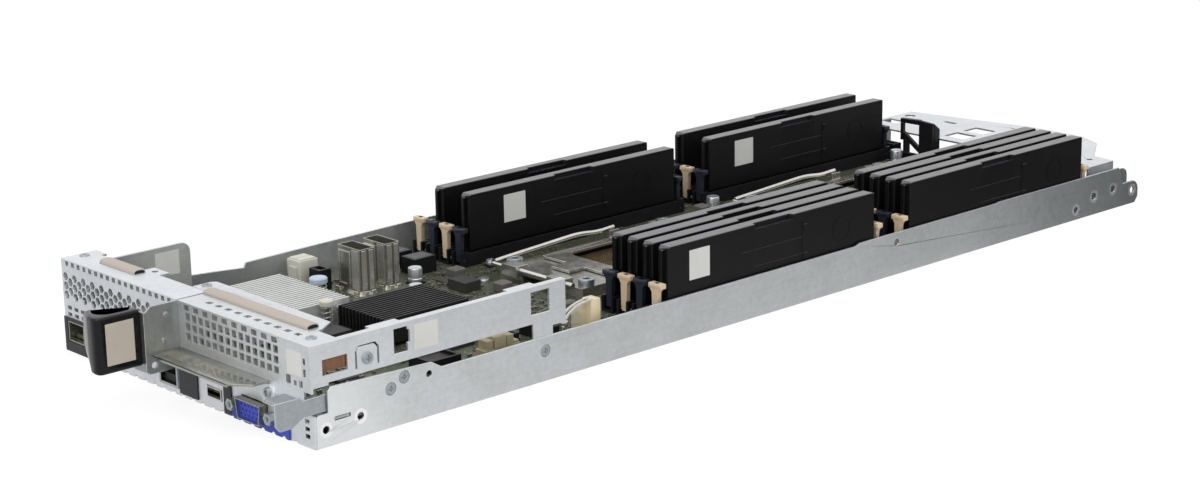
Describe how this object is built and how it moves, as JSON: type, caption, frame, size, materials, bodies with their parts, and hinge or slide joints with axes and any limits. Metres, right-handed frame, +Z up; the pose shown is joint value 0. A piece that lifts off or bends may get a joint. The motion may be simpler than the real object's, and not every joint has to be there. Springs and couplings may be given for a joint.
{
  "type": "multi node server sled",
  "caption": "Half-width server node tray with vented front cages, pull handle, release lever, processor sockets and memory slots with black blanks",
  "frame": {"origin": "middle of the underside of the whole object's box", "axes": "+Y runs from the front panel to the rear, +Z up, +X to the side wall with the release lever"},
  "size_m": [0.1744, 0.579, 0.0416],
  "materials": {
    "zinc_sheet": "zinc-plated sheet",
    "dark_zinc": "zinc-plated sheet, darker",
    "copper": "copper alloy spring strip",
    "black_gloss": "gloss black",
    "tan_label": "blank label",
    "gasket_cloth": "conductive cloth over foam",
    "board_green": "solder mask",
    "brass_post": "standoff",
    "screw_steel": "bright steel",
    "fin_aluminium": "extruded fins",
    "black_fin": "black anodised fins",
    "chip_black": "moulded package",
    "can_aluminium": "can",
    "nickel": "nickel-plated shell",
    "natural_nylon": "natural nylon",
    "black_plastic": "moulded",
    "blue_plastic": "moulded",
    "bright_steel": "polished sheet and wire",
    "blank_plastic": "moulded",
    "white_label": "blank label",
    "latch_plastic": "moulded latches, cream and near black by turns"
  },
  "bodies": {
    "sled": {"base_tray": "zinc_sheet", "front_io_plate": "zinc_sheet", "left_vent_cage": "zinc_sheet", "left_side_plate": "dark_zinc", "right_riser_cage": "zinc_sheet", "copper_ground_finger": "copper", "handle_bracket": "dark_zinc", "connector_shelf": "dark_zinc", "pull_handle": "black_gloss", "handle_label": "tan_label", "lever_anchor_plate": "dark_zinc", "conductive_gaskets": "gasket_cloth", "motherboard": "board_green", "board_standoffs": "brass_post", "chassis_screws": "screw_steel", "board_screws": "screw_steel", "silver_heatsink": "fin_aluminium", "black_heatsink": "black_fin", "board_chips": "chip_black", "capacitors": "can_aluminium", "cable_connectors": "nickel", "power_connector": "natural_nylon", "board_connectors": "black_plastic", "riser_connector": "natural_nylon", "pluggable_port_cage": "nickel", "network_jack": "black_plastic", "usb_port": "nickel", "video_shell": "nickel", "video_insert": "blue_plastic", "video_jackscrews": "screw_steel", "blue_port_plate": "blue_plastic", "black_port_plates": "black_plastic", "cpu_socket_bases": "black_plastic", "cpu_socket_frames": "bright_steel", "cpu_frame_screws": "screw_steel", "memory_sockets_right": "black_plastic", "memory_sockets_left": "black_plastic", "memory_blanks_right": "blank_plastic", "memory_blanks_left": "blank_plastic", "paper_labels": "white_label", "spring_clip": "bright_steel", "rear_deck": "zinc_sheet", "deck_roll": "bright_steel", "rear_cable_holder": "black_plastic", "rear_bracket": "dark_zinc"},
    "release_lever": {"release_lever": "dark_zinc"},
    "load_plate_front": {"load_plate_front": "bright_steel"},
    "load_lever_front_left": {"load_lever_front_left": "bright_steel"},
    "load_lever_front_right": {"load_lever_front_right": "bright_steel"},
    "load_plate_rear": {"load_plate_rear": "bright_steel"},
    "load_lever_rear_left": {"load_lever_rear_left": "bright_steel"},
    "load_lever_rear_right": {"load_lever_rear_right": "bright_steel"},
    "latches_front_right_a": {"latches_front_right_a": "latch_plastic"},
    "latches_front_right_b": {"latches_front_right_b": "latch_plastic"},
    "latches_front_left_a": {"latches_front_left_a": "latch_plastic"},
    "latches_front_left_b": {"latches_front_left_b": "latch_plastic"},
    "latches_rear_right_a": {"latches_rear_right_a": "latch_plastic"},
    "latches_rear_right_b": {"latches_rear_right_b": "latch_plastic"},
    "latches_rear_left_a": {"latches_rear_left_a": "latch_plastic"},
    "latches_rear_left_b": {"latches_rear_left_b": "latch_plastic"}
  },
  "joints": [
    {"name": "release_lever_flex", "type": "hinge", "parent": "sled", "child": "release_lever", "pos_m": [0.08495, -0.2205, 0.0168], "axis": [0, 0, 1], "range_deg": [-4, 0], "stiffness_Nm_per_rad": 0.6},
    {"name": "load_plate_front_hinge", "type": "hinge", "parent": "sled", "child": "load_plate_front", "pos_m": [0.0046, 0.0225, 0.0139], "axis": [1, 0, 0], "range_deg": [-100, 0]},
    {"name": "load_lever_front_left_turn", "type": "hinge", "parent": "sled", "child": "load_lever_front_left", "pos_m": [0.0046, -0.0725, 0.0136], "axis": [1, 0, 0], "range_deg": [0, 110]},
    {"name": "load_lever_front_right_turn", "type": "hinge", "parent": "sled", "child": "load_lever_front_right", "pos_m": [0.0046, 0.0395, 0.0136], "axis": [1, 0, 0], "range_deg": [-110, 0]},
    {"name": "load_plate_rear_hinge", "type": "hinge", "parent": "sled", "child": "load_plate_rear", "pos_m": [0.0046, 0.1773, 0.0139], "axis": [1, 0, 0], "range_deg": [-100, 0]},
    {"name": "load_lever_rear_left_turn", "type": "hinge", "parent": "sled", "child": "load_lever_rear_left", "pos_m": [0.0046, 0.0823, 0.0136], "axis": [1, 0, 0], "range_deg": [0, 110]},
    {"name": "load_lever_rear_right_turn", "type": "hinge", "parent": "sled", "child": "load_lever_rear_right", "pos_m": [0.0046, 0.1943, 0.0136], "axis": [1, 0, 0], "range_deg": [-110, 0]},
    {"name": "latches_front_right_a_tilt", "type": "hinge", "parent": "sled", "child": "latches_front_right_a", "pos_m": [0.0679, -0.07278, 0.0107], "axis": [1, 0, 0], "range_deg": [0, 24]},
    {"name": "latches_front_right_b_tilt", "type": "hinge", "parent": "sled", "child": "latches_front_right_b", "pos_m": [0.0679, 0.06498, 0.0107], "axis": [1, 0, 0], "range_deg": [-24, 0]},
    {"name": "latches_front_left_a_tilt", "type": "hinge", "parent": "sled", "child": "latches_front_left_a", "pos_m": [-0.0606, -0.07278, 0.0107], "axis": [1, 0, 0], "range_deg": [0, 24]},
    {"name": "latches_front_left_b_tilt", "type": "hinge", "parent": "sled", "child": "latches_front_left_b", "pos_m": [-0.0606, 0.06498, 0.0107], "axis": [1, 0, 0], "range_deg": [-24, 0]},
    {"name": "latches_rear_right_a_tilt", "type": "hinge", "parent": "sled", "child": "latches_rear_right_a", "pos_m": [0.0679, 0.08203, 0.0107], "axis": [1, 0, 0], "range_deg": [0, 24]},
    {"name": "latches_rear_right_b_tilt", "type": "hinge", "parent": "sled", "child": "latches_rear_right_b", "pos_m": [0.0679, 0.21977, 0.0107], "axis": [1, 0, 0], "range_deg": [-24, 0]},
    {"name": "latches_rear_left_a_tilt", "type": "hinge", "parent": "sled", "child": "latches_rear_left_a", "pos_m": [-0.0606, 0.08203, 0.0107], "axis": [1, 0, 0], "range_deg": [0, 24]},
    {"name": "latches_rear_left_b_tilt", "type": "hinge", "parent": "sled", "child": "latches_rear_left_b", "pos_m": [-0.0606, 0.21977, 0.0107], "axis": [1, 0, 0], "range_deg": [-24, 0]}
  ]
}
